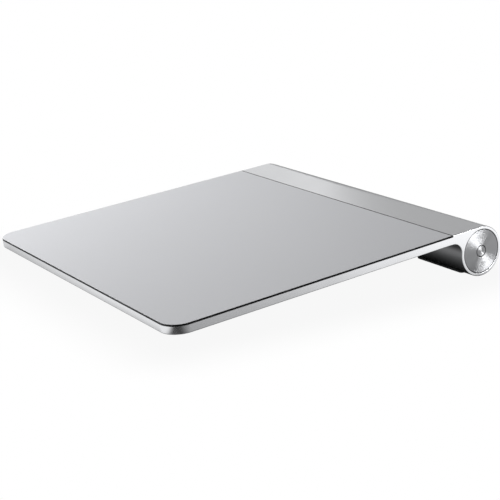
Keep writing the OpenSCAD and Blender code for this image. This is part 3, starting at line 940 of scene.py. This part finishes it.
class TRACKPAD_OT_battery_cap(bpy.types.Operator):
    """Builds the battery cap with its coin slot and thread, and the spring behind it"""

    bl_idname = "trackpad.battery_cap"
    bl_label = "Battery Cap"

    def execute(self, context):
        settings = context.scene.trackpad_end
        body = context.scene.trackpad_body
        metal = blasted_metal("Cap_Aluminium", body.metal_colour, body.grain_size)
        piece = finish_piece("Battery_Cap", cap_mesh(settings.turn_steps), [metal], "battery_cap",
                             "anodised_aluminium", "battery_cap")
        soften(piece, settings.edge_round, by_weight=True)
        steel = sheet_metal("Spring_Steel", context.scene.trackpad_inside.steel_colour, 0.28)
        finish_piece("Contact_Spring", spring_mesh(), [steel], "cap_core", "spring_steel",
                     "cap_contact_spring")
        return {"FINISHED"}


# Share of a cell's length where its band begins
BAND_START = 0.68


def cell_mesh(name, steps):
    """One cell: rolled ends, a jacket and a nub."""
    low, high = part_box(name.lower())
    radius = (high.y - low.y) / 2
    shoulder_x = high.x - 1.5 * MM
    nub_r = 2.6 * MM
    inset = 0.25 * MM
    edge = 0.35 * MM
    base_in = radius * 0.72
    base_out = radius * 0.78
    top_in = radius * 0.74
    top_out = radius * 0.8
    profile = [(low.x + inset, 0), (low.x + inset, base_in), (low.x, base_out), (low.x, radius),
               (shoulder_x, radius), (shoulder_x, top_out), (shoulder_x - inset, top_in),
               (shoulder_x - inset, nub_r), (high.x, nub_r), (high.x, 0)]
    return turned_mesh(name, rounded(profile, edge), steps)


class TRACKPAD_OT_cells(bpy.types.Operator):
    """Builds the two cells in the tube"""

    bl_idname = "trackpad.cells"
    bl_label = "Cells"

    def execute(self, context):
        inside = context.scene.trackpad_inside
        steps = context.scene.trackpad_end.turn_steps
        for name in ("Battery_Inner", "Battery_Outer"):
            node = name.lower()
            low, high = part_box(node)
            band_x = low.x + BAND_START * (high.x - low.x)
            jacket = cell_jacket(name + "_Jacket", inside.jacket_colour, inside.band_colour, band_x)
            finish_piece(name, cell_mesh(name, steps), [jacket], "chassis", "cell_jacket", node)
        return {"FINISHED"}


PLUNGER_HEAD_T = 0.8 * MM
PLUNGER_GAP = 0.6 * MM
FOOT_R = 5.6 * MM


def desk_n(v):
    """Height in the plate's frame of the desk under a point of the slope."""
    return -(FRONT_TOP.z + v * SLOPE.z) / NORMAL.z


def pad_mesh(name, x, edge):
    """Rubber pad under a front foot: round, level with the desk, with a soft lower edge."""
    bm = bmesh.new()
    top_n = -PLATE_T - PLUNGER_GAP - PLUNGER_HEAD_T
    steps = 64
    rim = 0.15 * MM
    rows = [(FOOT_R - rim, None, 0), (FOOT_R, None, rim)]
    for radius, lift in arc((FOOT_R - edge, edge), edge, 0, -90, 6):
        rows.append((radius, lift, 0))
    rings = []
    for radius, lift, drop in rows:
        ring = []
        for a, b in arc((x, FOOT_V), radius, 0, 360 * (steps - 1) / steps, steps - 1):
            n = top_n - drop if lift is None else desk_n(b) + lift
            ring.append(bm.verts.new(on_plate(a, b, n)))
        rings.append(ring)
    loft(bm, rings)
    return mesh_of(bm, name)


STRIP_CROWN_IN = 1.3 * MM
STRIP_CROWN_UP = 0.45 * MM


def strip_mesh():
    """The two rubber strips under the tube, with round corners and a crowned lower face."""
    low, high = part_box("rear_feet")
    length = 24 * MM
    width = high.y - low.y
    corner = 1.4 * MM
    bm = bmesh.new()
    for side in (-1, 1):
        middle = side * (high.x - length / 2)
        rings = []
        rows = [(0, high.z)]
        for across, up in arc((0, 1), 1, 0, -90, 8):
            rows.append((STRIP_CROWN_IN * (1 - across), low.z + STRIP_CROWN_UP * up))
        for inset, z in rows:
            ring = []
            for sx, sy, start in ((1, 1, 0), (-1, 1, 90), (-1, -1, 180), (1, -1, 270)):
                hub = (sx * (length / 2 - corner), sy * (width / 2 - corner))
                for a, b in arc(hub, corner - inset, start, start + 90, 8):
                    ring.append(bm.verts.new((middle + a, TUBE_Y + b, z)))
            rings.append(ring)
        loft(bm, rings)
    return mesh_of(bm, "Rear_Feet")


class TRACKPAD_OT_feet(bpy.types.Operator):
    """Builds the rubber of the front feet and the strips under the tube"""

    bl_idname = "trackpad.feet"
    bl_label = "Feet"

    def execute(self, context):
        settings = context.scene.trackpad_feet
        rubber = moulded("Grey_Rubber", settings.rubber_colour, 0.62, 0.25 * MM, 0.3)
        for side, x in (("Left", -FOOT_X), ("Right", FOOT_X)):
            name = "Foot_Pad_" + side
            finish_piece(name, pad_mesh(name, x, settings.edge_round), [rubber],
                         "front_foot_" + side.lower(), "grey_rubber", name.lower())
        finish_piece("Rear_Feet", strip_mesh(), [rubber], "chassis", "grey_rubber", "rear_feet")
        return {"FINISHED"}


# Snap domes: size of the click domes, and the shares of rise and radius along a dome's profile
DOME_R = 2.4 * MM
DOME_H = 0.5 * MM
DOME_ROWS = ((1, 0), (1, 0.42), (0.8, 0.6), (0.35, 0.84), (0.1, 0.96), (0, 1), (0, 0))
DOME_STEPS = 48


def on_foot(foot_x, height, radius, angle):
    """A point round the axis of a front foot."""
    return on_plate(foot_x + radius * math.cos(angle), FOOT_V + radius * math.sin(angle), height)


def snap_dome(name, base, rise, radius, place, material):
    """A sprung steel dome, built in its rest shape."""
    profile = [(base + rise * up, radius * out) for up, out in DOME_ROWS]
    mesh = turned_mesh(name, profile, DOME_STEPS, place=place)
    piece = finish_piece(name, mesh, [material], "chassis", "spring_steel", name.lower())
    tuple(place(base, 0, 0))
    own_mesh(piece)


class TRACKPAD_OT_domes(bpy.types.Operator):
    """Builds the snap domes that the front feet and the power button press flat"""

    bl_idname = "trackpad.domes"
    bl_label = "Snap Domes"

    def execute(self, context):
        steel = sheet_metal("Dome_Steel", context.scene.trackpad_inside.steel_colour, 0.3)
        for side, x in (("Left", -FOOT_X), ("Right", FOOT_X)):
            name = "Click_Dome_" + side
            base = (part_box(name.lower())[1].z - on_plate(0, FOOT_V + DOME_R, 0).z) / NORMAL.z
            place = functools.partial(on_foot, x)
            snap_dome(name, base, -DOME_H, DOME_R, place, steel)
        low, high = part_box("power_dome")
        snap_dome("Power_Dome", low.x, high.x - low.x, (high.y - low.y) / 2, on_tube, steel)
        return {"FINISHED"}


INNER_EDGE_ROUND = 0.06 * MM


class TRACKPAD_OT_inner_parts(bpy.types.Operator):
    """Gives every inner part its own material and softened edges"""

    bl_idname = "trackpad.inner_parts"
    bl_label = "Inner Parts"

    def execute(self, context):
        inside = context.scene.trackpad_inside
        feet = context.scene.trackpad_feet
        steel = sheet_metal("Clip_Steel", inside.steel_colour, 0.3)
        brass = sheet_metal("Contact_Brass", (0.72, 0.5, 0.2), 0.28)
        acetal = moulded("White_Acetal", feet.plastic_colour, 0.42, 0.2 * MM, 0.12)
        plastic = moulded("Dark_Plastic", (0.035, 0.036, 0.038), 0.5, 0.2 * MM, 0.2)
        board = circuit_board("Circuit_Board", inside.board_colour)
        finishes = {
            "sensor_film": moulded("Bonding_Film", (0.5, 0.52, 0.5), 0.35, 0.5 * MM, 0.1),
            "sensor_board": board,
            "power_board": board,
            "touch_controller": moulded("Chip_Resin", (0.02, 0.02, 0.022), 0.55, 0.08 * MM, 0.3),
            "radio_module": sheet_metal("Shield_Steel", (0.66, 0.67, 0.68), 0.32),
            "board_passives": moulded("Passive_Ceramic", (0.3, 0.18, 0.1), 0.4, 0.1 * MM, 0.15),
            "flex_connector": moulded("Connector_Resin", (0.72, 0.68, 0.58), 0.45, 0.1 * MM, 0.15),
            "battery_flex": moulded("Flex_Polyimide", (0.42, 0.17, 0.03), 0.3, 0.3 * MM, 0.1),
            "status_led": clear_lens("Led_Lens", (0.75, 0.9, 0.75)),
            "ground_clip": brass,
            "positive_contact": brass,
            "foam_pads": moulded("Foam", (0.05, 0.05, 0.055), 0.9, 0.4 * MM, 0.9),
            "click_switches": acetal,
            "power_switch": acetal,
            "foot_plunger_left": acetal,
            "foot_plunger_right": acetal,
            "foot_clip_left": steel,
            "foot_clip_right": steel,
            "contact_holder": plastic,
            "battery_sleeve": plastic,
            "cap_insulator": plastic,
        }
        for name, material in finishes.items():
            node = frame["nodes"][name]
            node.data.materials.clear()
            node.data.materials.append(material)
            soften(node, INNER_EDGE_ROUND)
        return {"FINISHED"}


# Camera: place, aim, roll and focal length of the photograph's view
CAMERA_AT = (0.377223, -0.241782, 0.129429)
CAMERA_AIM = (0.023681, -0.010662, 0.011577)
CAMERA_ROLL = math.radians(-0.747)
CAMERA_LENS = 92.88

# Lamps: where each stands, what it is aimed at, and its width and height
PAD_CENTRE = (0, 0, 0)
DISC_CENTRE = (END_X, TUBE_Y, TUBE_Z)
LAMPS = {
    "Left": ((-0.705, 0.23, 0.3), PAD_CENTRE, (0.52, 0.34)),
    "Left_Back": ((-0.488, 0.559, 0.3), PAD_CENTRE, (0.37, 0.34)),
    "Front": ((-0.45, -0.65, 0.11), PAD_CENTRE, (0.5, 0.15)),
    "Right": ((0.67, 0.345, 0.1), DISC_CENTRE, (0.36, 0.2)),
    "Fill": ((-0.27, -0.18, 0.15), PAD_CENTRE, (0.26, 0.26)),
}

# Floor: its half side, its height, and how far and how strongly the shadow shows round the object
FLOOR_REACH = 6
FLOOR_Z = -0.02 * MM
SHADOW_REACH = 0.03
SHADOW_SEEN = 0.07

# Floor in reflections: painted shade under the object by the tube, and a painted glow that grows brighter
# towards the front of the plate
MIRROR_REACH = 0.005
PAINTED_UNDER_GLOW = 0.17
UNDER_NEAR = 0.004
UNDER_FAR = 0.03

# Painted reflections on the floor, outside the object: places along a line across the near corner, and the
# painted light and dark tones there, whose dark stretch paints shade into the plate's near corner
PAINTED_DARK_SIDE = math.radians(-40)
PAINTED_REFLECTION_SPAN = (-0.1, 0.18)
PAINTED_REFLECTION_TONES = ((-0.1, 0.7), (-0.04, 1), (-0.0085, 1), (-0.0045, 0), (0.006, 0), (0.013, 0.22),
               (0.05, 0.28), (0.1, 0.6), (0.14, 1))


def aim(thing, target, roll=0):
    """Turns a lamp or the camera towards a point."""
    away = Vector(target) - thing.location
    turn = away.to_track_quat("-Z", "Y").to_matrix() @ Matrix.Rotation(roll, 3, "Z")
    thing.rotation_euler = turn.to_euler()


def soft_lamp(name, power, mirrored=True, spared=None):
    """A rectangular soft lamp; one that isn't mirrored leaves no glare, and a spared piece gets no light."""
    place, target, (width, height) = LAMPS[name]
    lamp = bpy.data.lights.new(name, "AREA")
    lamp.shape = "RECTANGLE"
    lamp.size = width
    lamp.size_y = height
    lamp.energy = power
    thing = bpy.data.objects.new(name, lamp)
    thing.location = place
    thing.visible_camera = False
    thing.visible_glossy = mirrored
    bpy.context.scene.collection.objects.link(thing)
    aim(thing, target)
    if spared:
        unlit = bpy.data.collections.new("Spared_By_" + name)
        unlit.objects.link(spared)
        unlit.collection_objects[0].light_linking.link_state = "EXCLUDE"
        thing.light_linking.receiver_collection = unlit


def painted_floor_reflections(tree, where):
    """Painted light and dark stretches on the floor that only metal and glass see; the dark stretch paints
    shade into the plate's near corner.
    """
    low, high = PAINTED_REFLECTION_SPAN
    corner = vector_step(tree, "SUBTRACT", where, (CAD_HIGH.x, CAD_LOW.y, 0))
    across = vector_step(tree, "DOT_PRODUCT", corner, (-math.sin(PAINTED_DARK_SIDE), math.cos(PAINTED_DARK_SIDE), 0))
    span = ramp(tree, across, low, high)
    painted_ramp = add_node(tree, "ShaderNodeValToRGB")
    stops = painted_ramp.color_ramp.elements
    for place, _ in PAINTED_REFLECTION_TONES[1:-1]:
        stops.new((place - low) / (high - low))
    for stop, (place, painted_level) in zip(stops, PAINTED_REFLECTION_TONES):
        stop.position = (place - low) / (high - low)
        stop.color = (painted_level, painted_level, painted_level, 1)
    tree.links.new(span.outputs["Result"], painted_ramp.inputs["Fac"])
    return painted_ramp.outputs["Color"]


def pale_floor_painted_reflections(colour):
    """Floor that is white to the camera but for a faint shadow, with painted light and shade that only
    reflections see.
    """
    material, tree, shader = start_material("Pale_Floor_Painted_Reflections", Roughness=0.9, Specular_IOR_Level=0.1)
    patches = place_group(tree, handling_group(), Size=200 * MM)
    tint(tree, patches.outputs["Mask"], shade(colour, 0.97), colour, shader.inputs["Base Color"])

    where = add_node(tree, "ShaderNodeTexCoord").outputs["Object"]
    half = vector_step(tree, "ABSOLUTE", where)
    outside = vector_step(tree, "SUBTRACT", half, (CAD_HIGH.x, CAD_HIGH.y, 0))
    clear = vector_step(tree, "MAXIMUM", outside)
    reach = vector_step(tree, "LENGTH", clear)
    faint = ramp(tree, reach, 0, SHADOW_REACH, 1 - SHADOW_SEEN, 1, smooth=True)
    fade = ramp(tree, reach, 0, MIRROR_REACH, smooth=True)
    depth = add_node(tree, "ShaderNodeSeparateXYZ")
    tree.links.new(where, depth.inputs[0])
    # Painted shade and glow under the object: dark by the tube, brighter towards the front of the plate
    painted_under_glow = ramp(tree, depth.outputs["Y"], TUBE_Y - UNDER_NEAR, TUBE_Y - UNDER_FAR, 0, PAINTED_UNDER_GLOW, smooth=True)
    level = add_node(tree, "ShaderNodeMix", data_type="FLOAT")
    tree.links.new(fade.outputs["Result"], level.inputs[0])
    tree.links.new(painted_under_glow.outputs["Result"], level.inputs[2])
    # Painted reflections outside the object: the light and dark stretches across the near corner
    tree.links.new(painted_floor_reflections(tree, where), level.inputs[3])

    rays = add_node(tree, "ShaderNodeLightPath")
    mirrored = value_step(tree, "MAXIMUM", rays.outputs["Is Glossy Ray"], rays.outputs["Is Transmission Ray"])
    seen = value_step(tree, "MULTIPLY", rays.outputs["Is Camera Ray"], faint.outputs["Result"])
    # Metal and glass see these painted levels as white light from the floor
    shown = value_step(tree, "MULTIPLY", mirrored, level.outputs[0])
    white = add_node(tree, "ShaderNodeEmission", Strength=1)
    both = add_node(tree, "ShaderNodeMixShader")
    tree.links.new(value_step(tree, "MAXIMUM", seen, shown), both.inputs[0])
    tree.links.new(shader.outputs[0], both.inputs[1])
    tree.links.new(white.outputs[0], both.inputs[2])
    tree.links.new(both.outputs[0], tree.nodes["Material Output"].inputs["Surface"])
    return material


class TRACKPAD_OT_stage(bpy.types.Operator):
    """Sets the floor, the lamps and the camera"""

    bl_idname = "trackpad.stage"
    bl_label = "Stage"

    def execute(self, context):
        settings = context.scene.trackpad_stage
        scene = context.scene
        bm = bmesh.new()
        signs = ((-1, -1), (1, -1), (1, 1), (-1, 1))
        bm.faces.new(ring_of(bm, [(x * FLOOR_REACH, y * FLOOR_REACH, FLOOR_Z) for x, y in signs]))
        mesh = bpy.data.meshes.new("Floor")
        bm.to_mesh(mesh)
        bm.free()
        mesh.materials.append(pale_floor_painted_reflections(settings.floor_colour))
        floor = bpy.data.objects.new("Floor", mesh)
        scene.collection.objects.link(floor)

        world = bpy.data.worlds.new("Room")
        world.use_nodes = True
        sky = world.node_tree.nodes["Background"]
        sky.inputs["Color"].default_value = (1, 1, 1, 1)
        sky.inputs["Strength"].default_value = settings.room_level
        scene.world = world

        soft_lamp("Left", settings.left_power)
        soft_lamp("Left_Back", settings.back_power)
        soft_lamp("Front", settings.front_power, mirrored=False)
        soft_lamp("Right", settings.right_power, spared=bpy.data.objects["Touch_Glass"])
        soft_lamp("Fill", settings.fill_power, mirrored=False)

        lens = bpy.data.cameras.new("Camera")
        lens.lens = CAMERA_LENS
        lens.sensor_width = 36
        lens.clip_start = 0.01
        camera = bpy.data.objects.new("Camera", lens)
        camera.location = CAMERA_AT
        scene.collection.objects.link(camera)
        aim(camera, CAMERA_AIM, CAMERA_ROLL)
        scene.camera = camera
        scene.view_settings.view_transform = "Standard"
        return {"FINISHED"}


class TRACKPAD_PT_panel(bpy.types.Panel):
    """Lists the pieces of the trackpad and their settings"""

    bl_label = "Trackpad"
    bl_idname = "TRACKPAD_PT_panel"
    bl_space_type = "VIEW_3D"
    bl_region_type = "UI"
    bl_category = "Trackpad"

    def draw(self, context):
        for operator in OPERATORS:
            self.layout.operator(operator.bl_idname)
        for name in SETTINGS:
            group = getattr(context.scene, name)
            box = self.layout.box()
            for field in group.__annotations__:
                box.prop(group, field)


SETTINGS = {
    "trackpad_body": TrackpadBodySettings,
    "trackpad_glass": TrackpadGlassSettings,
    "trackpad_end": TrackpadEndSettings,
    "trackpad_feet": TrackpadFeetSettings,
    "trackpad_inside": TrackpadInsideSettings,
    "trackpad_stage": TrackpadStageSettings,
}
OPERATORS = (
    TRACKPAD_OT_body,
    TRACKPAD_OT_glass,
    TRACKPAD_OT_power_end,
    TRACKPAD_OT_battery_cap,
    TRACKPAD_OT_cells,
    TRACKPAD_OT_feet,
    TRACKPAD_OT_domes,
    TRACKPAD_OT_inner_parts,
    TRACKPAD_OT_stage,
)


def register():
    for name, group in SETTINGS.items():
        bpy.utils.register_class(group)
        setattr(bpy.types.Scene, name, bpy.props.PointerProperty(type=group))
    for operator in OPERATORS:
        bpy.utils.register_class(operator)
    bpy.utils.register_class(TRACKPAD_PT_panel)


def unregister():
    bpy.utils.unregister_class(TRACKPAD_PT_panel)
    for operator in reversed(OPERATORS):
        bpy.utils.unregister_class(operator)
    for name, group in reversed(SETTINGS.items()):
        delattr(bpy.types.Scene, name)
        bpy.utils.unregister_class(group)


def main():
    """Builds every piece in order."""
    register()
    bpy.ops.trackpad.body()
    bpy.ops.trackpad.glass()
    bpy.ops.trackpad.power_end()
    bpy.ops.trackpad.battery_cap()
    bpy.ops.trackpad.cells()
    bpy.ops.trackpad.feet()
    bpy.ops.trackpad.domes()
    bpy.ops.trackpad.inner_parts()
    bpy.ops.trackpad.stage()


if __name__ == "__main__":
    main()
